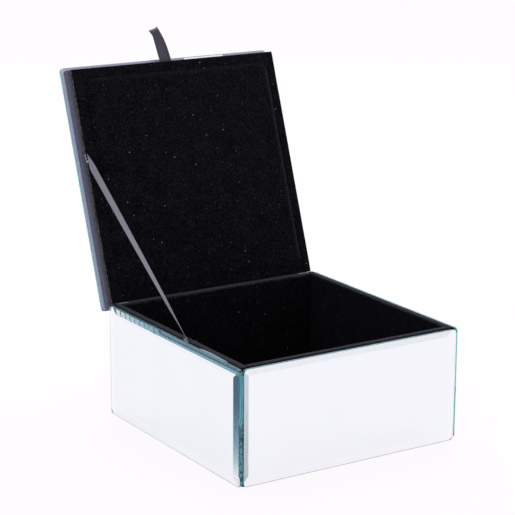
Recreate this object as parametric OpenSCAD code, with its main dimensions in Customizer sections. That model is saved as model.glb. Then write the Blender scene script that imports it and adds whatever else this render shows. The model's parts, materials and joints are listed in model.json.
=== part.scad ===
// Vanity trinket box: a board box faced with bevelled mirror glass, lined with velvet,
// with a mirrored lid on a cloth hinge, held open by a ribbon stay.
// Millimetres. +Z is up, -Y is the front, the origin is the centre of the underside.
// The lid is drawn shut by the lid modules, then turned to its open rest position.

/* [Box] */
// Width over the side mirrors
box_w = 152; // [120:1:200]
// Depth over the front and back mirrors
box_d = 152; // [120:1:200]
// Height of the wall mirrors
mirror_h = 67.5; // [50:0.5:110]
// Height of the mirrors' lower edges above the table
mirror_lift = 0.5; // [0.2:0.1:0.7]

/* [Mirror glass] */
// Thickness of the glass
glass_t = 3; // [3:0.5:6]
// Width of the bevel round the face
bevel_w = 5; // [4:0.2:10]
// Depth of the bevel at the edge
bevel_drop = 1.2; // [1:0.1:2.2]
// Corner radius of a glass panel
corner_r = 2.4; // [1:0.1:4]
// Adhesive gap behind a wall mirror
glue_t = 0.4; // [0.4:0.1:1]
// Distance from the front face back to the ends of the side mirrors
side_mirror_setback = 2.3; // [1:0.1:6]
// How far the left mirror sits forward and the right mirror back
side_mirror_slip = 0.7; // [0:0.1:1]
// Clearance between the front and side mirrors at a corner
corner_gap = 0.6; // [0.1:0.1:1]

/* [Walls] */
// Thickness of the wall boards
wall_t = 3; // [2:0.5:6]
// Thickness of the floor board
floor_t = 3; // [2:0.5:6]
// Thickness of the felt under the box
felt_t = 0.8; // [0.8:0.1:2]
// Thickness of the tape round the corners of the board box
corner_tape_t = 0.3; // [0.1:0.1:0.4]
// Length of each leg of that tape
corner_tape_leg = 8; // [5:1:9]

/* [Lining] */
// Thickness of a wall lining
lining_t = 1.6; // [1:0.2:3]
// Thickness of the velvet over the top of a wall
rim_t = 0.8; // [0.5:0.1:2]
// Height of the velvet rim above the mirrors
rim_rise = 0.8; // [0.5:0.1:2]
// Thickness of the floor pad
floor_pad_t = 4; // [2:0.5:10]
// Clearance round the floor pad
pad_clearance = 0.4; // [0.2:0.1:1]

/* [Lid] */
// Thickness of the lid board
lid_board_t = 4; // [3:0.5:8]
// Thickness of the paper round the edge of the lid board
edge_wrap_t = 0.3; // [0.1:0.1:0.5]
// Thickness of the velvet lining of the lid
lid_lining_t = 3; // [2:0.2:5]
// Thickness of the foam tape under the lid mirror
lid_tape_t = 0.8; // [0.4:0.1:2]
// Distance of the lid board's front edge behind the board box's front
lid_setback = 1; // [0:0.1:3]
// How far the lid mirror passes the lid board at each side
lid_lip = 1.6; // [1:0.1:3]
// How far the lid mirror passes the lid board at the front
lid_front_lip = 2.6; // [1:0.1:4]
// How much narrower the lid lining is than the lid board, at each side
lid_lining_inset = 0.3; // [0:0.1:1]
// Distance of the lid lining to the right of the middle
lid_lining_shift = 1.7; // [0:0.1:2]
// Height of the raised pad in the lid
lid_pad_rise = 1.4; // [0.8:0.1:3]
// Distance from the edge of the lid lining to the raised pad
lid_pad_margin = 7; // [6:0.5:15]
// Corner radius of the raised pad
lid_pad_r = 3; // [1:0.5:8]
// Gap between the shut lid and the rim
lid_gap = 0.3; // [0.3:0.1:1]

/* [Hinge] */
// Angle of the open lid from shut
lid_open = 109.5; // [95:0.5:115]
// Distance of the hinge line in front of the back mirror's face
hinge_inset = 2; // [1.5:0.1:2.5]
// Height of the hinge line below the top of the mirrors
hinge_drop = 0.9; // [0:0.1:1]
// Thickness of the hinge cloth
cloth_t = 0.3; // [0.2:0.1:0.3]
// Length of the hinge cloth down the back board
cloth_tail = 16; // [10:1:18]
// Length of the hinge cloth on the lid board
cloth_on_lid = 2.4; // [1.5:0.1:3]

/* [Ribbons] */
// Width of the satin ribbon
ribbon_w = 6; // [4:0.5:10]
// Distance of the stay from the hinge line, along the lid
stay_on_lid = 91; // [60:1:110]
// Distance of the stay from the hinge line, along the left wall
stay_on_wall = 89; // [60:1:110]
// Length of the pull loop outside the lid
pull_len = 21; // [15:1:35]
// Length of the pull ribbon held inside the lid
pull_tail = 8; // [5:1:8]
// Widest opening of the pull loop
pull_bulge = 3; // [1:0.5:6]
// Lean of the pull loop to the left
pull_lean = 10; // [0:1:20]
// Place of the pull loop along the front of the lid, from the middle
pull_offset = -5; // [-30:1:30]

/* [Hidden] */

$fn = 48;
// Past-the-face length of a cutting tool
cut = 1;
// Distance of a tape sheet from the edges of its board
tape_margin = 10;
// Distance of a wall tape below the top of the mirrors, clear of the cloth and the ribbon
tape_drop = cloth_tail + 4;

// The board box inside the mirrors
board_w = box_w - 2*(glass_t + glue_t);
board_d = box_d - 2*(glass_t + glue_t);
mirror_top = mirror_lift + mirror_h;
rim_top = mirror_top + rim_rise;
board_top = rim_top - rim_t;
board_h = board_top - felt_t;
rim_w = wall_t + lining_t;
floor_top = felt_t + floor_t;
lining_h = board_top - floor_top;
edge_t = glass_t - bevel_drop;

// The stack of the shut lid, from the rim up
lining_z = rim_top + lid_gap;
lid_glue_z = lining_z + lid_lining_t;
lid_board_z = lid_glue_z + glue_t;
lid_tape_z = lid_board_z + lid_board_t;
lid_mirror_z = lid_tape_z + lid_tape_t;
lid_front = lid_setback - board_d/2;
lid_back = box_d/2;
lid_board_d = lid_back - lid_front;
lid_board_mid = (lid_back + lid_front)/2;
lid_mirror_w = board_w + 2*lid_lip;
lid_mirror_d = lid_board_d + lid_front_lip;
lid_mirror_mid = (lid_back + lid_front - lid_front_lip)/2;
lid_lining_w = board_w - 2*lid_lining_inset;

// The hinge line
hinge_y = box_d/2 - hinge_inset;
hinge_z = mirror_top - hinge_drop;

// A point of the open lid, as [y, z]: along is the distance from the hinge line towards the
// free edge, and up is the height above the hinge line when the lid is shut
function on_lid(along, up) = [hinge_y - along*cos(lid_open) + up*sin(lid_open),
                              hinge_z + along*sin(lid_open) + up*cos(lid_open)];

// Turns what is drawn on the shut lid to where it stands open
module opened() {
    translate([0, hinge_y, hinge_z]) rotate([-lid_open, 0, 0])
        translate([0, -hinge_y, -hinge_z]) children();
}

// A flat rectangle with round corners, centred
module rounded_plate(w, d, r) {
    square([w - 2*r, d], center = true);
    square([w, d - 2*r], center = true);
    for (x = [-1, 1], y = [-1, 1]) translate([x*(w/2 - r), y*(d/2 - r)]) circle(r = r);
}

// The waste that one bevel takes off a panel, along its edge at x = w/2
module bevel_waste(w, run) {
    reach = w/2 + cut;
    rotate([90, 0, 0]) linear_extrude(run + 2*cut, center = true)
        polygon([[w/2 - bevel_w, glass_t], [w/2 - bevel_w, glass_t + cut], [reach, glass_t + cut],
                 [reach, glass_t - bevel_drop*(bevel_w + cut)/bevel_w]]);
}

// A glass panel lying on its silvered back, with a bevel ground along its four edges
module bevelled_mirror(w, d) {
    color("lightsteelblue") difference() {
        linear_extrude(glass_t) rounded_plate(w, d, corner_r);
        for (turn = [0, 180]) rotate([0, 0, turn]) bevel_waste(w, d);
        for (turn = [90, 270]) rotate([0, 0, turn]) bevel_waste(d, w);
    }
}

// Stands a panel on the front of the box, its face to -Y, its middle at the given height
module stood_in_front(back_y, mid_z) {
    translate([0, back_y, mid_z]) rotate([90, 0, 0]) children();
}

// Stands a panel on the left of the box, its face to -X
module stood_at_left(back_x, mid_z) {
    translate([back_x, 0, mid_z]) rotate([90, 0, -90]) children();
}

module wall_mirror_across() {
    stood_in_front(glass_t - box_d/2, mirror_lift + mirror_h/2)
        bevelled_mirror(box_w - 2*(glass_t + corner_gap), mirror_h);
}

module wall_mirror_along() {
    translate([0, -side_mirror_slip, 0])
        stood_at_left(glass_t - box_w/2, mirror_lift + mirror_h/2)
            bevelled_mirror(box_d - 2*side_mirror_setback, mirror_h);
}

module front_mirror() { wall_mirror_across(); }
module back_mirror() { rotate([0, 0, 180]) wall_mirror_across(); }
module left_mirror() { wall_mirror_along(); }
module right_mirror() { rotate([0, 0, 180]) wall_mirror_along(); }

// The adhesive sheet between a wall board and its mirror
module wall_tape(face, run) {
    color("white") translate([-run/2 + tape_margin, -face - glue_t, tape_margin])
        cube([run - 2*tape_margin, glue_t, mirror_top - tape_drop - tape_margin]);
}

module front_tape() { wall_tape(board_d/2, board_w); }
module back_tape() { rotate([0, 0, 180]) wall_tape(board_d/2, board_w); }
module left_tape() { rotate([0, 0, -90]) wall_tape(board_w/2, board_d); }
module right_tape() { rotate([0, 0, 90]) wall_tape(board_w/2, board_d); }

// The front and back boards run the full width, and the side boards stand between them
module wall_board(face, run) {
    color("dimgray") translate([-run/2, -face, felt_t]) cube([run, wall_t, board_h]);
}

module front_board() { wall_board(board_d/2, board_w); }
module back_board() { rotate([0, 0, 180]) wall_board(board_d/2, board_w); }
module left_board() { rotate([0, 0, -90]) wall_board(board_w/2, board_d - 2*wall_t); }
module right_board() { rotate([0, 0, 90]) wall_board(board_w/2, board_d - 2*wall_t); }

module floor_board() {
    color("dimgray") translate([0, 0, felt_t + floor_t/2])
        cube([board_w - 2*wall_t, board_d - 2*wall_t, floor_t], center = true);
}

// Black tape folded round each upright corner of the board box
module corner_tapes() {
    color("black") for (x = [-1, 1], y = [-1, 1]) scale([x, y, 1])
        translate([board_w/2, board_d/2, felt_t]) linear_extrude(board_h) {
            translate([-corner_tape_leg, 0]) square([corner_tape_leg + corner_tape_t, corner_tape_t]);
            translate([0, -corner_tape_leg]) square([corner_tape_t, corner_tape_leg + corner_tape_t]);
        }
}

// A velvet-covered card on a wall board, with the velvet turned over the top of the board.
// run is the card's length and top_run the length of the turned-over velvet.
module wall_lining(face, run, top_run) {
    color("black") {
        translate([-run/2, -face + wall_t, floor_top]) cube([run, lining_t, lining_h]);
        translate([-top_run/2, -face, board_top]) cube([top_run, rim_w, rim_t]);
    }
}

module lining_across() { wall_lining(board_d/2, board_w - 2*rim_w, board_w - 2*rim_w); }
module lining_along() { wall_lining(board_w/2, board_d - 2*wall_t, board_d); }
module front_lining() { lining_across(); }
module back_lining() { rotate([0, 0, 180]) lining_across(); }
module left_lining() { rotate([0, 0, -90]) lining_along(); }
module right_lining() { rotate([0, 0, 90]) lining_along(); }

module floor_pad() {
    side_gap = 2*(rim_w + pad_clearance);
    color("black") translate([0, 0, floor_top + floor_pad_t/2])
        cube([board_w - side_gap, board_d - side_gap, floor_pad_t], center = true);
}

module base_felt() {
    color("black") linear_extrude(felt_t) rounded_plate(board_w, board_d, corner_r);
}

// A flat layer of the shut lid, from its front edge to its back edge
module lid_layer(w, front, back, z, t, r) {
    translate([0, (front + back)/2, z]) linear_extrude(t) rounded_plate(w, back - front, r);
}

module lid_mirror() {
    opened() translate([0, lid_mirror_mid, lid_mirror_z]) bevelled_mirror(lid_mirror_w, lid_mirror_d);
}

module lid_tape() {
    color("white") opened() lid_layer(board_w - 2*tape_margin, lid_front + tape_margin,
                                      lid_back - tape_margin, lid_tape_z, lid_tape_t, corner_r);
}

module lid_board() {
    color("dimgray") opened() translate([0, lid_board_mid, lid_board_z + lid_board_t/2])
        cube([board_w - 2*edge_wrap_t, lid_board_d - 2*edge_wrap_t, lid_board_t], center = true);
}

module lid_edge_wrap() {
    color("slategray") opened() translate([0, lid_board_mid, lid_board_z])
        linear_extrude(lid_board_t) difference() {
            square([board_w, lid_board_d], center = true);
            square([board_w - 2*edge_wrap_t, lid_board_d - 2*edge_wrap_t], center = true);
        }
}

// The adhesive sheet between the lid board and the lining, which also holds the pull ribbon
module lid_glue() {
    color("ivory") opened() lid_layer(board_w - 2*tape_margin, lid_front + tape_margin,
                                      board_d/2 - tape_margin, lid_glue_z, glue_t, corner_r);
}

module lid_lining() {
    color("black") opened() translate([lid_lining_shift, 0, 0])
        lid_layer(lid_lining_w, lid_front, board_d/2, lining_z, lid_lining_t, 1);
}

module lid_pad() {
    color("black") opened() translate([lid_lining_shift, 0, 0])
        lid_layer(lid_lining_w - 2*lid_pad_margin, lid_front + lid_pad_margin,
                  board_d/2 - lid_pad_margin, lining_z - lid_pad_rise, lid_pad_rise, lid_pad_r);
}

// A strip of cloth seen from its edge: it follows a line of points with a steady thickness
module strip(points, t) {
    for (i = [0 : len(points) - 2]) {
        step = points[i + 1] - points[i];
        translate(points[i]) rotate(atan2(step.y, step.x)) translate([0, -t/2]) square([norm(step), t]);
    }
    for (p = points) translate(p) circle(d = t, $fn = 24);
}

// Extrudes a profile drawn as [y, z] along X, centred on x
module across(w, x = 0) {
    translate([x - w/2, 0, 0]) rotate([90, 0, 90]) linear_extrude(w) children();
}

// The cloth that joins the back board to the lid board. It comes up between the back board
// and the back mirror, passes over the mirror and is glued under the back of the lid board.
module hinge_cloth() {
    in_gap = board_d/2 + glue_t/2;
    over_mirror = mirror_top + cloth_t;
    arris_y = box_d/2 - bevel_drop;
    glued_up = lid_board_z - hinge_z - cloth_t/2 - 0.02;
    glued_end = hinge_inset - edge_wrap_t;
    points = [[in_gap, mirror_top - cloth_tail], [in_gap, over_mirror - 0.1],
              [in_gap + 0.4, over_mirror], [arris_y, over_mirror],
              on_lid(cloth_on_lid - glued_end, glued_up), on_lid(-glued_end, glued_up)];
    color("black") across(board_w - 2*tape_margin) strip(points, cloth_t);
}

// The stay lies against the left side of the open lid, and is tucked between the left board
// and its mirror. It is as thick as the adhesive gap that it fills.
module stay_ribbon() {
    top = on_lid(stay_on_lid, lining_z - hinge_z + lid_lining_t/2);
    foot = [hinge_y - stay_on_wall, board_top];
    run = top - foot;
    color("slategray") translate([-board_w/2 - glue_t, 0, 0]) rotate([90, 0, 90])
        linear_extrude(glue_t) translate(foot) rotate(atan2(run.y, run.x))
            translate([0, -ribbon_w/2]) square([norm(run), ribbon_w]);
}

// A ribbon folded into a loop, its two tails held between the lid board and the lining.
// The tails fill the adhesive gap, and the two plies bow apart outside it.
module pull_ribbon() {
    ply = glue_t/2;
    bow = [[0, 0], [0.2, 0.45], [0.45, 0.9], [0.7, 1], [0.9, 0.75], [1, 0.3]];
    over = [for (p = bow) [-p.x*pull_len, ply + p.y*pull_bulge/2]];
    tip = [-pull_len - ply, 0];
    hole = [for (p = bow) [-p.x*pull_len, p.y*pull_bulge/2]];
    color("dimgray") opened() translate([pull_offset, lid_front, lid_glue_z + ply])
        rotate([0, 0, -pull_lean]) across(ribbon_w) difference() {
            polygon(concat([[pull_tail, -ply], [pull_tail, ply]], over, [tip],
                           [for (i = [5 : -1 : 0]) [over[i].x, -over[i].y]]));
            polygon(concat(hole, [for (i = [5 : -1 : 1]) [hole[i].x, -hole[i].y]]));
        }
}

front_mirror();
back_mirror();
left_mirror();
right_mirror();
front_tape();
back_tape();
left_tape();
right_tape();
front_board();
back_board();
left_board();
right_board();
floor_board();
corner_tapes();
front_lining();
back_lining();
left_lining();
right_lining();
floor_pad();
base_felt();
lid_mirror();
lid_tape();
lid_board();
lid_edge_wrap();
lid_glue();
lid_lining();
lid_pad();
hinge_cloth();
stay_ribbon();
pull_ribbon();
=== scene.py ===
# %% [markdown]
# # A mirrored trinket box
# This notebook finishes a small vanity box: mirror-glass walls and lid, black velvet inside, a cloth hinge, a
# ribbon stay and a ribbon pull. The hard parts were designed first, in millimetres, and come in as a fixed
# frame. Each soft or shiny piece is then made here, from points in millimetres, and rides on the part of the
# box that carries it, except the stay and the cloth hinge, which ride on no part.

# %% Load the designed parts
import json
import math
import bpy
import bmesh
from mathutils import Matrix, Vector, noise


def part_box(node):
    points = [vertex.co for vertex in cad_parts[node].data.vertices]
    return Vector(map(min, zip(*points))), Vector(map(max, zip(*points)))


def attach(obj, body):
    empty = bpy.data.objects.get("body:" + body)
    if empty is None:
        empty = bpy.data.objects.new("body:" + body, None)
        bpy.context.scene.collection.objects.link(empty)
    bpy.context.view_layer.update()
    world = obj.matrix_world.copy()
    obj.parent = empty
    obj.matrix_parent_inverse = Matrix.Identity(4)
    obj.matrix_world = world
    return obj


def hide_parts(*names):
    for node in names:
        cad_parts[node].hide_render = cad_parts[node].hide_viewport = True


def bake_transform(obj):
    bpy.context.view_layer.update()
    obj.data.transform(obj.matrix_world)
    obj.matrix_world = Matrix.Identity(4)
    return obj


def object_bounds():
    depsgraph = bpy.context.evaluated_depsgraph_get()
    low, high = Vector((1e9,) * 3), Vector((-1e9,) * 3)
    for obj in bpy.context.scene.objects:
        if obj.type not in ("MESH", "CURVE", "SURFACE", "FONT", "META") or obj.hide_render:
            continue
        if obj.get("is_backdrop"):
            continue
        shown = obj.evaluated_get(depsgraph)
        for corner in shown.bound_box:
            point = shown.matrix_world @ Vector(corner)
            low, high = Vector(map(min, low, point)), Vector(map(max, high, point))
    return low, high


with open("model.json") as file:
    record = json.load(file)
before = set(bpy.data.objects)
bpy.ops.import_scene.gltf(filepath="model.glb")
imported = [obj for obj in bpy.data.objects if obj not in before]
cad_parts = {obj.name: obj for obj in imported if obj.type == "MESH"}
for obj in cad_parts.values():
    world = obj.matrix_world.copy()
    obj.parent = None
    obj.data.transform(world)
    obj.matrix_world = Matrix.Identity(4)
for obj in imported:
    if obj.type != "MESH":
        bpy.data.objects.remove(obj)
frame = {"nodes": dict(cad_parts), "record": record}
design_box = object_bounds()
MM = 0.001

# %% [markdown]
# The camera comes first, because it decides which surfaces matter most. It is a long lens about 1.1 m away
# and a little above the box, so that upright edges stay nearly upright. Its place and its three axes are
# written out, so that the view is always framed the same way.

# %% Camera
def look(right, up, back, place):
    """A camera matrix from its three axes and its place."""
    columns = [Vector(right), Vector(up), Vector(back), Vector(place)]
    return Matrix([[column[row] for column in columns] for row in range(3)] + [[0, 0, 0, 1]])


lens = bpy.data.cameras.new("long_lens")
lens.lens, lens.sensor_width = 133.226, 36.0
lens.clip_start, lens.clip_end = 0.05, 30.0
camera = bpy.data.objects.new("camera", lens)
camera.matrix_world = look((0.842514, -0.538655, 0.004526), (0.133016, 0.216178, 0.967251),
                           (-0.521993, -0.814321, 0.253782), (-0.593221, -0.900031, 0.386789))
bpy.context.scene.collection.objects.link(camera)
bpy.context.scene.camera = camera
print("camera at", [round(v, 3) for v in camera.matrix_world.translation])

# %% [markdown]
# A mirrored box shows its room more than itself, so the room is part of the model. It is plain: a pale
# floor that glows evenly, like the sweep of paper in a light tent, and a soft sky that is bright at the
# horizon and dimmer overhead. One large soft lamp gives the velvet and the ribbons their highlights.

# %% Floor, sky and lamp
def plain_floor(half=4.0):
    mesh = bpy.data.meshes.new("floor")
    corners = [(-half, -half, 0), (half, -half, 0), (half, half, 0), (-half, half, 0)]
    mesh.from_pydata(corners, [], [(0, 1, 2, 3)])
    floor = bpy.data.objects.new("floor", mesh)
    bpy.context.scene.collection.objects.link(floor)
    paper = bpy.data.materials.new("pale_paper")
    paper.use_nodes = True
    surface = paper.node_tree.nodes["Principled BSDF"]
    surface.inputs["Base Color"].default_value = (0.10, 0.10, 0.10, 1)
    surface.inputs["Roughness"].default_value = 0.9
    surface.inputs["Specular IOR Level"].default_value = 0.0
    surface.inputs["Emission Color"].default_value = (1.0, 0.965, 1.0, 1)
    surface.inputs["Emission Strength"].default_value = 0.93
    mesh.materials.append(paper)
    floor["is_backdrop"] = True


def soft_sky(horizon=1.0, overhead=0.55):
    world = bpy.data.worlds.new("light_tent")
    bpy.context.scene.world = world
    world.use_nodes = True
    nodes, links = world.node_tree.nodes, world.node_tree.links
    where = nodes.new("ShaderNodeTexCoord")
    height = nodes.new("ShaderNodeSeparateXYZ")
    fade = nodes.new("ShaderNodeValToRGB")
    links.new(where.outputs["Generated"], height.inputs[0])
    links.new(height.outputs["Z"], fade.inputs[0])
    fade.color_ramp.elements[0].position = 0.0
    fade.color_ramp.elements[0].color = (horizon, horizon, horizon, 1)
    fade.color_ramp.elements[1].position = 0.7
    fade.color_ramp.elements[1].color = (overhead, overhead, overhead * 1.04, 1)
    links.new(fade.outputs[0], nodes["Background"].inputs["Color"])


def soft_lamp(name, place, aim, size, watts):
    light = bpy.data.lights.new(name, "AREA")
    light.shape, light.size, light.energy = "SQUARE", size, watts
    lamp = bpy.data.objects.new(name, light)
    lamp.location = place
    lamp.rotation_euler = (Vector(aim) - Vector(place)).to_track_quat("-Z", "Y").to_euler()
    bpy.context.scene.collection.objects.link(lamp)


plain_floor()
soft_sky()
soft_lamp("soft_box", (0.5, 0.7, 1.3), (0, 0, 0.05), 0.8, 9)
scene = bpy.context.scene
scene.view_settings.view_transform = "Standard"
PANE_BOUNCES = 64  # light trapped in a pane crosses it dozens of times
scene.cycles.max_bounces = PANE_BOUNCES
scene.cycles.glossy_bounces = PANE_BOUNCES
scene.cycles.transmission_bounces = PANE_BOUNCES
scene.cycles.transparent_max_bounces = 32
print("view transform:", scene.view_settings.view_transform)

# %% [markdown]
# Materials next, from the hardest to the softest. One helper makes a plain finish, and the others add a
# pattern, a colour or a relief to it. Patterns use each piece's own coordinates, in metres, so a scale of
# 2000 gives grains of about half a millimetre.

# %% Material helpers
def finish(name, colour, roughness, **settings):
    """A material with one principled surface. Settings are that node's own sockets, spaces as underscores."""
    material = bpy.data.materials.new(name)
    material.use_nodes = True
    surface = material.node_tree.nodes["Principled BSDF"]
    surface.inputs["Base Color"].default_value = (*colour, 1)
    surface.inputs["Roughness"].default_value = roughness
    for socket, value in settings.items():
        surface.inputs[socket.replace("_", " ")].default_value = value
    return material


def surface_of(material):
    return material.node_tree.nodes["Principled BSDF"]


def grain(material, scale, detail=3.0, stretch=(1, 1, 1), offset=0.0):
    """Cloudy noise across the piece, in its own coordinates."""
    nodes, links = material.node_tree.nodes, material.node_tree.links
    where = nodes.new("ShaderNodeTexCoord")
    place = nodes.new("ShaderNodeMapping")
    cloud = nodes.new("ShaderNodeTexNoise")
    place.inputs["Scale"].default_value = stretch
    place.inputs["Location"].default_value = (offset, offset, offset)
    cloud.inputs["Scale"].default_value = scale
    cloud.inputs["Detail"].default_value = detail
    links.new(where.outputs["Object"], place.inputs["Vector"])
    links.new(place.outputs["Vector"], cloud.inputs["Vector"])
    return cloud.outputs["Fac"]


def ramp(material, factor, low, high, start=0.3, stop=0.7):
    """Turns a factor into a colour between low and high."""
    nodes, links = material.node_tree.nodes, material.node_tree.links
    fade = nodes.new("ShaderNodeValToRGB")
    for stop_point, position, colour in zip(fade.color_ramp.elements, (start, stop), (low, high)):
        stop_point.position = position
        stop_point.color = (*colour, 1)
    links.new(factor, fade.inputs[0])
    return fade.outputs[0]


def maths(material, kind, a, b):
    """One sum on two values, each a number or a socket."""
    nodes, links = material.node_tree.nodes, material.node_tree.links
    node = nodes.new("ShaderNodeMath")
    node.operation = kind
    for socket, value in zip(node.inputs, (a, b)):
        if isinstance(value, (int, float)):
            socket.default_value = value
        else:
            links.new(value, socket)
    return node.outputs[0]


def mixed(material, factor, a, b):
    """Colour a where factor is 0 and colour b where it is 1."""
    nodes, links = material.node_tree.nodes, material.node_tree.links
    node = nodes.new("ShaderNodeMix")
    node.data_type = "RGBA"
    for socket, value in ((node.inputs[0], factor), (node.inputs[6], a), (node.inputs[7], b)):
        if isinstance(value, tuple):
            socket.default_value = (*value, 1)
        else:
            links.new(value, socket)
    return node.outputs[2]


def colour_from(material, socket):
    material.node_tree.links.new(socket, surface_of(material).inputs["Base Color"])


def bump(material, height, depth, strength=1.0):
    """Small relief from a height pattern. depth is in metres."""
    nodes, links = material.node_tree.nodes, material.node_tree.links
    relief = nodes.new("ShaderNodeBump")
    relief.inputs["Strength"].default_value = strength
    relief.inputs["Distance"].default_value = depth
    links.new(height, relief.inputs["Height"])
    links.new(relief.outputs["Normal"], surface_of(material).inputs["Normal"])


# %% [markdown]
# Mirror glass is clear glass with silver on its back, so it is modelled as both. The bevel and the cut
# edges then behave as they do on a real mirror: light that enters through the bevel is often caught inside
# the pane, and comes out tinted sea-green by the length of glass it has crossed. The tint is a volume, so
# it grows with that length.

# %% Glass, silver and back paint
def mirror_glass(ground_roughness=0.3):
    """Clear glass, matt only where a face is marked as ground."""
    glass = finish("clear_glass", (1, 1, 1), 0.0, Transmission_Weight=1.0, IOR=1.52)
    nodes, links = glass.node_tree.nodes, glass.node_tree.links
    tint = nodes.new("ShaderNodeVolumeAbsorption")
    tint.inputs["Color"].default_value = (0.211, 0.778, 0.767, 1)
    tint.inputs["Density"].default_value = 18.0
    links.new(tint.outputs[0], nodes["Material Output"].inputs["Volume"])
    ground = nodes.new("ShaderNodeAttribute")
    ground.attribute_name = "ground"
    roughness = maths(glass, "MULTIPLY", ground.outputs["Fac"], ground_roughness)
    links.new(roughness, surface_of(glass).inputs["Roughness"])
    return glass


def silvering():
    silver = finish("silvering", (0.975, 0.948, 0.968), 0.01, Metallic=1.0)
    colour_from(silver, ramp(silver, grain(silver, 40, 2), (0.97, 0.943, 0.963), (0.98, 0.953, 0.973)))
    return silver


def back_paint():
    paint = finish("mirror_back_paint", (0.62, 0.65, 0.84), 0.55)
    colour_from(paint, ramp(paint, grain(paint, 700, 3), (0.59, 0.62, 0.81), (0.65, 0.68, 0.87)))
    bump(paint, grain(paint, 2500, 2), 0.02 * MM)
    return paint


GLASS, SILVER, BACK_PAINT = mirror_glass(), silvering(), back_paint()
print("mirror finishes:", GLASS.name, SILVER.name, BACK_PAINT.name)

# %% [markdown]
# Velvet is a short dense pile. It looks black face on and pale at a glancing angle, where the pile's tips
# catch the light, and it holds lint. Sheen gives the glancing light, two sizes of noise give the uneven
# pile, and a few far apart cells of a cell pattern give the lint.

# %% Velvet
def flecks(material, scale, radius, share):
    """1 on a few small round flecks, one at most in each cell, and 0 elsewhere."""
    nodes, links = material.node_tree.nodes, material.node_tree.links
    where = nodes.new("ShaderNodeTexCoord")
    cells = nodes.new("ShaderNodeTexVoronoi")
    tell = nodes.new("ShaderNodeSeparateColor")
    cells.inputs["Scale"].default_value = scale
    links.new(where.outputs["Object"], cells.inputs["Vector"])
    links.new(cells.outputs["Color"], tell.inputs[0])
    near = maths(material, "LESS_THAN", cells.outputs["Distance"], radius)
    return maths(material, "MULTIPLY", near, maths(material, "LESS_THAN", tell.outputs[0], share))


def velvet(name, dark, light, sheen=0.18, lint=True):
    cloth = finish(name, dark, 0.9, Specular_IOR_Level=0.05, Sheen_Weight=sheen, Sheen_Roughness=0.4,
                   Sheen_Tint=(0.72, 0.70, 0.95, 1))
    pile = grain(cloth, 900, 4)
    patches = grain(cloth, 120, 3, offset=0.3)
    together = maths(cloth, "ADD", maths(cloth, "MULTIPLY", pile, 0.8),
                     maths(cloth, "MULTIPLY", patches, 0.2))
    colour = ramp(cloth, together, dark, light, 0.44, 0.66)
    if lint:
        colour = mixed(cloth, flecks(cloth, 300, 0.12, 0.35), colour, (0.045, 0.045, 0.058))
        colour = mixed(cloth, flecks(cloth, 160, 0.055, 0.5), colour, (0.24, 0.24, 0.28))
    colour_from(cloth, colour)
    bump(cloth, together, 0.3 * MM, 0.9)
    return cloth


VELVET = velvet("black_velvet", (0.0008, 0.0008, 0.0013), (0.010, 0.0095, 0.014))
# The rim's velvet is the walls' velvet with about three times lighter colours: a painted highlight on the
# rim's top, where light falls from above.
RIM_VELVET_PAINTED_HIGHLIGHT = velvet("rim_velvet_painted_highlight", (0.003, 0.003, 0.0045), (0.030, 0.028, 0.038), 0.22, lint=False)
VELVET_EDGE = velvet("cut_edge_of_velvet", (0.020, 0.018, 0.022), (0.16, 0.145, 0.165), 0.2, lint=False)
print("velvets:", VELVET.name, RIM_VELVET_PAINTED_HIGHLIGHT.name, VELVET_EDGE.name)

# %% [markdown]
# Satin ribbon is woven with long floats, so it shines along its width and shows a fine rib and two firm
# selvedges. Book cloth, paper and board are matt and plain, with a little weave or fibre.

# %% Ribbon, cloth, paper and board
def satin(name, dark, light):
    weave = finish(name, dark, 0.42, Sheen_Weight=0.25, Sheen_Roughness=0.3,
                   Sheen_Tint=(0.85, 0.82, 0.95, 1))
    ribs = grain(weave, 2600, 2)
    colour_from(weave, ramp(weave, ribs, dark, light))
    bump(weave, ribs, 0.06 * MM, 0.7)
    return weave


def fibrous(name, dark, light, scale=900, roughness=0.85):
    material = finish(name, dark, roughness, Specular_IOR_Level=0.25)
    fibres = grain(material, scale, 4, (1, 1, 0.35))
    colour_from(material, ramp(material, fibres, dark, light))
    bump(material, fibres, 0.05 * MM, 0.6)
    return material


STAY_SATIN = satin("grey_satin", (0.13, 0.125, 0.17), (0.20, 0.19, 0.25))
PULL_SATIN = satin("charcoal_satin", (0.020, 0.018, 0.032), (0.060, 0.055, 0.088))
# The lid's edge paper is glossy blue-black. Here it is matt, and its slate-blue colours are partly its own
# dark blue and partly its sheen at a glancing angle, painted in.
EDGE_PAPER_PAINTED_SHEEN = fibrous("dark_paper_painted_sheen", (0.070, 0.083, 0.14), (0.105, 0.122, 0.195))
GREY_BOARD = fibrous("grey_board", (0.10, 0.097, 0.11), (0.16, 0.155, 0.17))
BLACK_TAPE = fibrous("black_paper_tape", (0.008, 0.008, 0.010), (0.018, 0.018, 0.022))
HINGE_CLOTH = fibrous("black_book_cloth", (0.010, 0.010, 0.012), (0.030, 0.030, 0.036), 1800)
FELT = fibrous("black_felt", (0.010, 0.010, 0.012), (0.022, 0.022, 0.026), 1200, 0.95)
MOUNTING = fibrous("mounting_tape", (0.86, 0.86, 0.88), (0.94, 0.94, 0.96))
DARK_GLUE = fibrous("dark_glue", (0.045, 0.042, 0.050), (0.085, 0.080, 0.090), 400, 0.5)
CLEAR_GLUE = finish("clear_glue", (0.42, 0.66, 0.74), 0.15, Transmission_Weight=0.4, IOR=1.45)
bump(CLEAR_GLUE, grain(CLEAR_GLUE, 900, 2), 0.05 * MM)
print("plain finishes:", len(bpy.data.materials))
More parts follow.
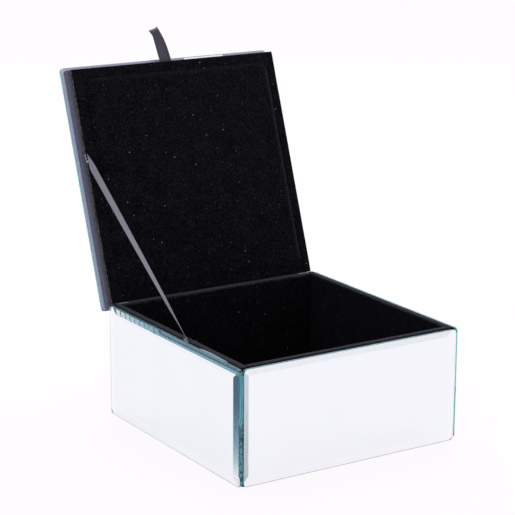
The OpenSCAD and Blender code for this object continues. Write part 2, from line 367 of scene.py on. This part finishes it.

# %% [markdown]
# The boards, tapes and felt already have their true shape, so they stay as designed and only take a finish.

# %% Finish the designed parts that stay
# The lid's edge wrap takes the paper with the painted sheen.
STAYS = {"corner_tapes": BLACK_TAPE, "lid_edge_wrap": EDGE_PAPER_PAINTED_SHEEN, "base_felt": FELT}
for name in ("front_board", "back_board", "left_board", "right_board", "floor_board", "lid_board"):
    STAYS[name] = GREY_BOARD
for name in ("front_tape", "back_tape", "left_tape", "right_tape", "lid_tape"):
    STAYS[name] = MOUNTING
STAYS["lid_glue"] = DARK_GLUE
for name, material in STAYS.items():
    part = frame["nodes"][name]
    for part_slot in part.material_slots:
        part_slot.material = material
print("finished as designed:", len(STAYS), "parts")

# %% [markdown]
# The lid's mirror and lining are made shut, lying flat over the box, and are then turned to where the lid
# stands open. The hinge line and the angle are the joint's own, read from the frame. Ribbon and glue on the
# lid are placed by a point of the open lid instead.

# %% Building blocks
JOINT = frame["record"]["behaviour"]["joints"][0]
HINGE = Vector(JOINT["pos_m"])
HINGE_Y, HINGE_Z = JOINT["pos_m"][1] / MM, JOINT["pos_m"][2] / MM
OPEN = math.radians(JOINT["range_deg"][1])
OPENED = Matrix.Translation(HINGE) @ Matrix.Rotation(-OPEN, 4, "X") @ Matrix.Translation(-HINGE)


def piece(name, verts, faces, material, matrix=None):
    """A new mesh object, from points in millimetres."""
    mesh = bpy.data.meshes.new(name)
    mesh.from_pydata([tuple(c * MM for c in v) for v in verts], [], faces)
    mesh.materials.append(material)
    if matrix is not None:
        mesh.transform(matrix)
    mesh.update()
    obj = bpy.data.objects.new(name, mesh)
    bpy.context.scene.collection.objects.link(obj)
    return obj


def outward(obj):
    """Turns every face outward."""
    work = bmesh.new()
    work.from_mesh(obj.data)
    bmesh.ops.recalc_face_normals(work, faces=work.faces)
    work.to_mesh(obj.data)
    work.free()


def smooth(obj, angle=30):
    obj.data.shade_smooth()
    obj.data.set_sharp_from_angle(angle=math.radians(angle))


def settle(obj, body, slot, *nodes):
    """The piece rides on a body and stands for the designed nodes. slot is not used."""
    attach(obj, body)
    if nodes:
        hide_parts(*nodes)


print("the lid turns about", [round(c, 4) for c in HINGE])

# %% [markdown]
# A pane of mirror glass is 3 mm thick, with a bevel ground along each edge down to 1.8 mm. The bevels meet
# in mitred corners, and the pane's own corners are slightly rounded. Each bevel is one flat plane, so every
# point of the outline gets its height from the nearest plane.

# %% Mirror panes
GLASS_T, BEVEL_W, BEVEL_DROP, CORNER_R = 3.0, 5.0, 1.2, 2.4
SEAT = 0.08  # room behind the glass for its silver and paint
SHEET_GAP = 0.02  # clearance in front of that sheet and behind it
SHEET_MARGIN = 0.15  # how far the sheet stops short of the glass at each edge
FACING = 0.9  # cosine over which a face counts as looking one way


def arc(cx, cy, r, start, stop, steps):
    """Points of a round corner, from one angle to another in degrees."""
    return [(cx + r * math.cos(math.radians(start + (stop - start) * k / steps)),
             cy + r * math.sin(math.radians(start + (stop - start) * k / steps))) for k in range(steps + 1)]


def pane_outline(w, h, r, steps=12):
    """Points of a rectangle with round corners, anticlockwise, four groups of one corner each."""
    corners = [(w / 2 - r, h / 2 - r, 0), (r - w / 2, h / 2 - r, 90),
               (r - w / 2, r - h / 2, 180), (w / 2 - r, r - h / 2, 270)]
    return [arc(x, y, r, start, start + 90, steps) for x, y, start in corners]


def pane(name, w, h, matrix):
    """A bevelled pane lying on its back. Its back face is silver, and its top and bottom edges are ground."""
    groups = pane_outline(w, h, CORNER_R)
    ring = [p for group in groups for p in group]
    count, half = len(ring), len(groups[0]) // 2

    def edge_height(x, y):
        inset = min(w / 2 - abs(x), h / 2 - abs(y), BEVEL_W)
        return GLASS_T - BEVEL_DROP * (BEVEL_W - inset) / BEVEL_W

    verts = [(x, y, SEAT) for x, y in ring] + [(x, y, edge_height(x, y)) for x, y in ring]
    inner = [(w / 2 - BEVEL_W, h / 2 - BEVEL_W), (BEVEL_W - w / 2, h / 2 - BEVEL_W),
             (BEVEL_W - w / 2, BEVEL_W - h / 2), (w / 2 - BEVEL_W, BEVEL_W - h / 2)]
    first = len(verts)
    verts += [(x, y, GLASS_T) for x, y in inner]
    faces = [tuple(reversed(range(count))), tuple(first + k for k in range(4))]
    faces += [(k, (k + 1) % count, count + (k + 1) % count, count + k) for k in range(count)]
    size = len(groups[0])
    for side in range(4):
        after = (side + 1) % 4
        run = [side * size + half + k for k in range(size - half)]
        run += [after * size + k for k in range(half + 1)]
        faces.append((first + side, *[count + k for k in run], first + after))
    glass = piece(name, verts, faces, GLASS, matrix)
    outward(glass)
    glass.data.materials.append(SILVER)
    turned = matrix.to_3x3().normalized()
    upright, behind = turned @ Vector((0, 1, 0)), turned @ Vector((0, 0, -1))
    ground = glass.data.attributes.new("ground", "FLOAT", "FACE")
    for face in glass.data.polygons:
        ground.data[face.index].value = 1.0 if abs(face.normal @ upright) > FACING else 0.0
        if face.normal @ behind > FACING:
            face.material_index = 1
    smooth(glass, 9)
    return glass


def silver_back(name, w, h, matrix):
    """The silver and its paint: a thin sheet just behind the glass, mirror in front and painted behind."""
    outline = pane_outline(w - 2 * SHEET_MARGIN, h - 2 * SHEET_MARGIN, CORNER_R)
    ring = [p for group in outline for p in group]
    count = len(ring)
    verts = [(x, y, SEAT - SHEET_GAP) for x, y in ring] + [(x, y, SHEET_GAP) for x, y in ring]
    faces = [tuple(range(count)), tuple(count + k for k in reversed(range(count)))]
    faces += [(k, count + k, count + (k + 1) % count, (k + 1) % count) for k in range(count)]
    back = piece(name, verts, faces, SILVER, matrix)
    back.data.materials.append(BACK_PAINT)
    for face in back.data.polygons[1:]:
        face.material_index = 1
    return back


def facing(x_axis, y_axis, place):
    """A matrix for a pane: its width, its height, and the middle of its back, in millimetres."""
    x_axis, y_axis = Vector(x_axis), Vector(y_axis)
    return look(x_axis, y_axis, x_axis.cross(y_axis), Vector(place) * MM)


def mirror(node, body, slot, w, h, matrix):
    """A pane in the place of a designed mirror, with its silver."""
    label = node.replace("_mirror", "")
    settle(pane(label + "_glass", w, h, matrix), body, slot, node)
    settle(silver_back(label + "_silver", w, h, matrix), body, slot)


low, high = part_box("front_mirror")
ACROSS, TALL, MID = (high[0] - low[0]) / MM, (high[2] - low[2]) / MM, (high[2] + low[2]) / 2 / MM
low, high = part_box("left_mirror")
ALONG, OUT, SLIP = (high[1] - low[1]) / MM, -low[0] / MM - GLASS_T, (high[1] + low[1]) / 2 / MM
mirror("front_mirror", "box", "wall_mirror", ACROSS, TALL, facing((1, 0, 0), (0, 0, 1), (0, -OUT, MID)))
mirror("back_mirror", "box", "wall_mirror", ACROSS, TALL, facing((-1, 0, 0), (0, 0, 1), (0, OUT, MID)))
mirror("left_mirror", "box", "wall_mirror", ALONG, TALL, facing((0, -1, 0), (0, 0, 1), (-OUT, SLIP, MID)))
mirror("right_mirror", "box", "wall_mirror", ALONG, TALL, facing((0, 1, 0), (0, 0, 1), (OUT, -SLIP, MID)))
LID_W, LID_D, LID_MID, LID_BACK_Z = 148.4, 150.2, 0.9, 77.3  # of the shut lid, as designed
LID_PLACE = OPENED @ facing((1, 0, 0), (0, 1, 0), (0, LID_MID, LID_BACK_Z))
mirror("lid_mirror", "lid", "lid_mirror", LID_W, LID_D, LID_PLACE)
print(f"panes: {ACROSS:.1f} and {ALONG:.1f} by {TALL:.1f} mm, lid {LID_W} by {LID_D} mm")

# %% [markdown]
# The wall linings are cards wrapped in velvet, and the velvet turns over the top of the wall to make a soft
# rim. One profile is swept along each wall. The side linings run the full depth, and the front and back
# ones end between them, so the seams show on the rim's top as they do on the real box.

# %% Velvet wall linings
WALL_IN, CARD, OUTER = 68.0, 1.6, 72.6  # cavity side, card thickness and outside of the boards
FLOOR_Z, FLAP_Z, RIM_Z = 3.8, 68.0, 68.8  # foot of the card, underside and top of the turned-over velvet
RIM_IN_R, RIM_OUT_R = 1.2, 0.8  # rounding of the rim towards the cavity and towards the mirror
SIDE_CARD = 69.5  # half length of a side card; the velvet on top runs on to OUTER
FULL_CARD = 80  # more than any half length: a front or back card is as long as its velvet


def stations(start, stop, step):
    """Even places from start to stop, about step apart."""
    count = max(1, round((stop - start) / step))
    return [start + (stop - start) * k / count for k in range(count + 1)]


LINING_PROFILE = ([(WALL_IN, z) for z in stations(FLOOR_Z, RIM_Z - RIM_IN_R, 1.6)[:-1]]
                  + arc(WALL_IN + RIM_IN_R, RIM_Z - RIM_IN_R, RIM_IN_R, 180, 90, 6)
                  + [(u, RIM_Z) for u in stations(WALL_IN + RIM_IN_R, OUTER - RIM_OUT_R, 0.7)[1:-1]]
                  + arc(OUTER - RIM_OUT_R, RIM_Z - RIM_OUT_R, RIM_OUT_R, 90, 0, 5)
                  + [(WALL_IN + CARD, FLAP_Z), (WALL_IN + CARD, FLOOR_Z)])


def uneven(point, size, height, seed=0.0):
    """A smooth random height at a point in millimetres, for cloth that is never quite flat."""
    return height * noise.noise(Vector(point) / size + Vector((seed, seed, seed)))


def wall_lining(name, half_run, half_card, matrix, seed):
    """A lining along local y. Past half_card only the rim goes on, over the ends of the next walls."""
    rows, count, verts = stations(-half_run, half_run, 1.3), len(LINING_PROFILE), []
    for y in rows:
        for u, z in LINING_PROFILE:
            wobble = uneven((u, y, z), 9, 0.10, seed) + uneven((u, y, z), 2.2, 0.05, seed)
            sideways = wobble if z < RIM_Z - 0.5 else 0
            upward = wobble if z > FLAP_Z else 0
            base = z if abs(y) < half_card else max(z, FLAP_Z)
            verts.append((-u - sideways, y, base + upward))
    faces = [(r * count + k, r * count + (k + 1) % count,
              (r + 1) * count + (k + 1) % count, (r + 1) * count + k)
             for r in range(len(rows) - 1) for k in range(count)]
    faces += [tuple(range(count)), tuple((len(rows) - 1) * count + k for k in reversed(range(count)))]
    lining = piece(name, verts, faces, VELVET, matrix)
    # Faces on top of the rim take the lighter velvet, which is a painted highlight.
    lining.data.materials.append(RIM_VELVET_PAINTED_HIGHLIGHT)
    for face in lining.data.polygons:
        if face.center.z > (RIM_Z - 0.9) * MM:
            face.material_index = 1
    outward(lining)
    smooth(lining, 40)
    settle(lining, "box", "velvet", name.replace("_velvet", "_lining"))


WALLS = (("left_velvet", 0, OUTER, SIDE_CARD, 1.0), ("right_velvet", 180, OUTER, SIDE_CARD, 2.0),
         ("front_velvet", 90, WALL_IN, FULL_CARD, 3.0), ("back_velvet", 270, WALL_IN, FULL_CARD, 4.0))
for name, turn, half_run, half_card, seed in WALLS:
    wall_lining(name, half_run, half_card, Matrix.Rotation(math.radians(turn), 4, "Z"), seed)
print("lining profile has", len(LINING_PROFILE), "points")

# %% [markdown]
# Two velvet pads are left: one on the floor of the box, and the lining of the lid with a raised pad in its
# middle. Both are height maps over a rectangle, with their lines of points set closer near the edges, where
# they turn.

# %% Velvet pads
def lines(half, step, edge=2.0):
    """Places of grid lines across a pad, close together near both edges."""
    close = [0, 0.08, 0.25, 0.5, 0.8, 1.2, edge]
    middle = stations(-half + edge, half - edge, step)[1:-1]
    return [-half + c for c in close] + middle + [half - c for c in reversed(close)]


def inset(x, y, hx, hy, r):
    """How far a point lies inside a rectangle with round corners."""
    dx, dy = abs(x) - (hx - r), abs(y) - (hy - r)
    outside = math.hypot(max(dx, 0), max(dy, 0))
    return r - outside if outside > 0 else r - max(dx, dy)


def ease(t):
    """A soft step from 0 to 1."""
    t = min(1, max(0, t))
    return t * t * (3 - 2 * t)


def pad(name, hx, hy, thick, height, material, matrix, step=1.5):
    """A slab whose top follows height(x, y). Its sides go down thick millimetres.
    Also returns how many faces its top has, as the faces after those are its sides and its back."""
    xs, ys = lines(hx, step), lines(hy, step)
    nx, ny = len(xs), len(ys)
    verts = [(x, y, height(x, y)) for y in ys for x in xs]
    faces = [(j * nx + i, j * nx + i + 1, (j + 1) * nx + i + 1, (j + 1) * nx + i)
             for j in range(ny - 1) for i in range(nx - 1)]
    rim = (list(range(nx)) + [j * nx + nx - 1 for j in range(1, ny)]
           + [(ny - 1) * nx + i for i in range(nx - 2, -1, -1)] + [j * nx for j in range(ny - 2, 0, -1)])
    first = len(verts)
    verts += [(verts[k][0], verts[k][1], -thick) for k in rim]
    sides = len(faces)
    faces += [(rim[k], first + k, first + (k + 1) % len(rim), rim[(k + 1) % len(rim)])
              for k in range(len(rim))]
    faces.append(tuple(first + k for k in reversed(range(len(rim)))))
    made = piece(name, verts, faces, material, matrix)
    outward(made)
    smooth(made, 45)
    return made, sides


FLOOR_HALF, FLOOR_THICK, FLOOR_TOP = 67.6, 3.9, 7.75
FLOOR_TURN, FLOOR_TURN_W = 1.2, 2.2  # how far the velvet turns down at the edge, and over what width


def rumple(x, y, size, seed):
    """Broad low waves about size millimetres across, with fine ones on top."""
    return uneven((x, y, 0), size, 0.12, seed) + uneven((x, y, 0), 3, 0.05, seed + 1)


def floor_height(x, y):
    d = inset(x, y, FLOOR_HALF, FLOOR_HALF, 1.5)
    turned = -FLOOR_TURN * (1 - ease(d / FLOOR_TURN_W))
    return turned + rumple(x, y, 14, 5)


ON_FLOOR = Matrix.Translation((0, 0, FLOOR_TOP * MM))
floor_velvet, _ = pad("floor_velvet", FLOOR_HALF, FLOOR_HALF, FLOOR_THICK, floor_height, VELVET, ON_FLOOR)
settle(floor_velvet, "box", "velvet", "floor_pad")

LINING_HX, LINING_HY, LINING_THICK = 72.3, 72.1, 3.0
LINING_X, LINING_Y, LINING_Z = 1.7, 0.5, 69.1  # the middle of the lining's face on the shut lid
EDGE_DROP, EDGE_W = 1.1, 1.3  # how far the lining's face rounds off at its edge, and over what width
PAD_IN, PAD_RISE, PAD_SLOPE = 7.2, 1.4, 1.8
GROOVE, GROOVE_W = 0.35, 0.7  # the line pressed in round the raised pad


def lid_height(x, y):
    d = inset(x, y, LINING_HX, LINING_HY, 1.6)
    turned = -EDGE_DROP * (1 - math.sqrt(max(0, 1 - (1 - min(1, d / EDGE_W)) ** 2)))
    p = inset(x, y, LINING_HX - PAD_IN, LINING_HY - PAD_IN, 4) + 0.3
    groove = -GROOVE * math.exp(-(p / GROOVE_W) ** 2)
    raised = PAD_RISE * ease(p / PAD_SLOPE)
    return turned + groove + raised + rumple(x, y, 16, 7)


UNDER_LID = (Matrix.Translation((LINING_X * MM, LINING_Y * MM, LINING_Z * MM))
             @ Matrix.Rotation(math.pi, 4, "Y"))
lid_velvet, sides = pad("lid_velvet", LINING_HX, LINING_HY, LINING_THICK, lid_height, VELVET,
                        OPENED @ UNDER_LID)
lid_velvet.data.materials.append(VELVET_EDGE)
for face in lid_velvet.data.polygons[sides:]:
    face.material_index = 1
settle(lid_velvet, "lid", "velvet", "lid_lining", "lid_pad")
print("velvet pads:", len(floor_velvet.data.vertices), "and", len(lid_velvet.data.vertices), "points")

# %% [markdown]
# Ribbons are thin strips that follow a path. A strip needs its path, and at each point the direction across
# its width, which turns as the ribbon twists.

# %% Ribbon strips
RIBBON_W, STAY_T, PULL_T = 5.8, 0.15, 0.3
SELVEDGE = 0.35  # how much thinner a strip is along its two edges, as a share of its thickness


def ribbon(name, path, across, width, thick, material, lanes=6, square=True):
    """A strip along path, in millimetres, with a thickness. across gives the width direction at each point.
    A strip that is not square keeps that direction and its length as given, so it can end on a slant."""
    path = [Vector(p) for p in path]
    verts, faces, count = [], [], len(path)
    for k, p in enumerate(path):
        along = (path[min(k + 1, count - 1)] - path[max(k - 1, 0)]).normalized()
        side = Vector(across[k])
        if square:
            side = (side - along * side.dot(along)).normalized()
        up = side.cross(along).normalized()
        for face in (0.5, -0.5):
            for lane in range(lanes + 1):
                s = lane / lanes - 0.5
                selvedge = SELVEDGE * thick if lane in (0, lanes) else 0.0
                verts.append(p + side * (s * width) + up * (face * (thick - selvedge)))
    ring = 2 * (lanes + 1)
    order = list(range(lanes + 1)) + list(range(ring - 1, lanes, -1))
    for k in range(count - 1):
        for a, b in zip(order, order[1:] + order[:1]):
            faces.append((k * ring + a, k * ring + b, (k + 1) * ring + b, (k + 1) * ring + a))
    faces += [tuple(order), tuple((count - 1) * ring + a for a in reversed(order))]
    strip = piece(name, verts, faces, material)
    outward(strip)
    smooth(strip, 50)
    return strip


def between(points, count):
    """Evenly many points on a smooth curve through points."""
    points = [Vector(p) for p in points]
    ends = [points[0] * 2 - points[1]] + points + [points[-1] * 2 - points[-2]]
    curve = []
    for k in range(count + 1):
        t = k / count * (len(points) - 1)
        i = min(int(t), len(points) - 2)
        f = t - i
        a, b, c, d = ends[i:i + 4]
        curve.append(0.5 * ((2 * b) + (c - a) * f + (2 * a - 5 * b + 4 * c - d) * f * f
                            + (3 * b - a - 3 * c + d) * f ** 3))
    return curve


def lid_point(x, along, up):
    """A point of the open lid: along from the hinge line to the free edge, up off the rim when shut."""
    return Vector((x, HINGE_Y + up * math.sin(OPEN) - along * math.cos(OPEN),
                   HINGE_Z + along * math.sin(OPEN) + up * math.cos(OPEN)))


def along_keys(keys, step):
    """Points and width directions between keys, each (place, across), about step millimetres apart."""
    path, turns = [], []
    for (here, turn), (there, next_turn) in zip(keys, keys[1:]):
        count = max(1, round((there - here).length / step))
        for k in range(count):
            path.append(here.lerp(there, k / count))
            turns.append(turn.lerp(next_turn, k / count))
    return path + [keys[-1][0]], turns + [keys[-1][1]]


# The stay runs from the lid's left side down to the left wall, and twists on its way. Each key gives how
# far down it is and which way its width points. At the foot it goes down behind the mirror.
top, foot = lid_point(-70.4, 90.2, 1.9), Vector((-72.6, -17.0, 68.1))
lid_edge = lid_point(0, 1, 0) - lid_point(0, 0, 0)
twist = [(0.0, lid_edge * 1.2), (0.045, (0.096, -0.556, 0.825)), (0.35, (-0.035, -0.558, 0.828)),
         (0.6, (-0.173, -0.55, 0.816)), (0.8, (-0.316, -0.53, 0.786)), (0.9, (-0.477, -0.49, 0.728)),
         (0.965, (-0.55, -0.47, 0.69))]
along_wall = Vector((0, -0.98, -0.12))
stay_keys = [(top.lerp(foot, t), Vector(turn)) for t, turn in twist]
stay_keys += [(Vector((-72.75, -14.0, 68.8)), along_wall), (Vector((-72.8, -13.7, 66.5)), along_wall)]
path, turns = along_keys(stay_keys, 1.6)
stay = ribbon("ribbon_stay", path, turns, RIBBON_W, STAY_T, STAY_SATIN, square=False)
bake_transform(stay)
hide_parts("stay_ribbon")
print(f"stay: {(top - foot).length:.0f} mm long")

# %% [markdown]
# The pull is the same ribbon folded into a loop. Both ends are glued under the lid's lining, and the fold
# stands up and leans a little, because a hand has pulled it many times.

# %% Pull loop
PULL_X, LID_EDGE, GLUE_UP = -5.0, 145.6, 5.2  # the loop's place on the lid, its free edge and its glue line


def pull_point(side, along, up):
    """A point of the loop, from where it leaves the lid."""
    return lid_point(PULL_X + side, LID_EDGE + along, GLUE_UP + up)


LOOP = ((0.5, -8, -0.1), (0.5, 0, -0.1), (-0.6, 5, -0.9), (-1.9, 11, -2.0), (-2.9, 17, -2.4),
        (-3.3, 20.2, -1.2), (-2.9, 21.2, 0.5), (-1.4, 20.2, 2.0), (1.3, 15, 2.6), (2.5, 9, 2.0),
        (2.6, 0, 0.1), (2.6, -8, 0.1))
loop_path = between([pull_point(*place) for place in LOOP], 88)
pull = ribbon("pull_loop", loop_path, [Vector((1, 0, 0.28))] * len(loop_path), RIBBON_W, PULL_T, PULL_SATIN)
settle(pull, "lid", "pull_ribbon", "pull_ribbon")
pull_rise = max(p.z for p in loop_path) - lid_point(0, LID_EDGE, 0).z
print("pull loop stands", round(pull_rise), "mm above the lid")

# %% [markdown]
# Small signs of hand work make the box believable. A bead of clear glue has squeezed up over the left
# mirror, three dabs of it show at the upper end of the stay, and the white end of the mounting tape shows
# past the lid board.

# %% Glue and tape that show
def bead(name, middle, radii, bumpy, seed):
    """A squashed ball of clear glue, a little bumpy."""
    rings, turns, verts = 16, 20, [(0, 0, 1)]
    for i in range(1, rings):
        polar = math.pi * i / rings
        verts += [(math.sin(polar) * math.cos(2 * math.pi * k / turns),
                   math.sin(polar) * math.sin(2 * math.pi * k / turns),
                   math.cos(polar)) for k in range(turns)]
    verts.append((0, 0, -1))
    shaped = []
    for v in verts:
        swell = 1 + bumpy * noise.noise(Vector(v) * 1.7 + Vector((seed, seed, seed)))
        shaped.append(tuple(m + c * r * swell for m, c, r in zip(middle, v, radii)))
    last = len(verts) - 1
    faces = [(0, 1 + k, 1 + (k + 1) % turns) for k in range(turns)]
    faces += [(1 + i * turns + k, 1 + (i + 1) * turns + k,
               1 + (i + 1) * turns + (k + 1) % turns, 1 + i * turns + (k + 1) % turns)
              for i in range(rings - 2) for k in range(turns)]
    faces += [(last - turns + k, last, last - turns + (k + 1) % turns) for k in range(turns)]
    made = piece(name, shaped, faces, CLEAR_GLUE)
    outward(made)
    smooth(made, 180)
    return made


settle(bead("glue_bead", (-73.15, -43.5, 68.2), (0.75, 13.5, 0.75), 0.25, 2.0), "box", "corner_tape")
DABS = (("glue_dab", -70.6, 89.0, 0.7), ("glue_dab_two", -71.4, 92.6, 0.45),
        ("glue_dab_three", -71.1, 90.9, 0.5))
DAB_UP = 2.9  # high enough to clear the velvet rim when the lid is shut
for name, x, along, size in DABS:
    spot = lid_point(x, along, DAB_UP)
    settle(bead(name, tuple(spot), (size, size, size * 1.2), 0.5, x), "lid", "stay_ribbon")
STRIP_X, STRIP_EDGE = (10.9, 39.1), ((145.75, 5.3), (147.2, 7.3), (147.1, 7.4), (145.65, 5.4))
corners = [lid_point(x, a, u) for x in STRIP_X for a, u in STRIP_EDGE]
strip_faces = [(0, 1, 2, 3), (7, 6, 5, 4)] + [(k, 4 + k, 4 + (k + 1) % 4, (k + 1) % 4) for k in range(4)]
strip = piece("tape_end", corners, strip_faces, MOUNTING)
outward(strip)
settle(strip, "lid", "mounting_tape")
print("glue and tape pieces made")

# %% [markdown]
# The hinge is a strip of book cloth. It comes up between the back wall and its mirror, turns over the
# mirror's top, and is glued under the lid board. It is made as it lies with the lid open, and rides on
# neither body.

# %% Cloth hinge
CLOTH_W, CLOTH_T = 123.2, 0.3
CLOTH_UP = 5.23  # the underside of the lid board above the hinge line, less half the cloth
rising = ((72.8, 52.0), (72.8, 60.0), (72.8, 67.9), (73.0, 68.25), (73.5, 68.3), (74.3, 68.3), (75.0, 68.25),
          (77.3, 67.0))
cloth_path = [Vector((0, y, z)) for y, z in rising]
cloth_path += [lid_point(0, along, CLOTH_UP) for along in (0.7, -0.5, -1.7)]
cloth_across = [Vector((1, 0, 0))] * len(cloth_path)
hinge = ribbon("cloth_hinge", cloth_path, cloth_across, CLOTH_W, CLOTH_T, HINGE_CLOTH, lanes=60)
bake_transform(hinge)
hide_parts("hinge_cloth")
print("cloth hinge:", len(hinge.data.vertices), "points")

# %% [markdown]
# Last, the finished model is measured, and its size is printed beside the designed one's.

# %% Measure and finish
finished_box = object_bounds()
for label, box in (("designed", design_box), ("finished", finished_box)):
    print(label, [[round(v / MM, 1) for v in c] for c in box])
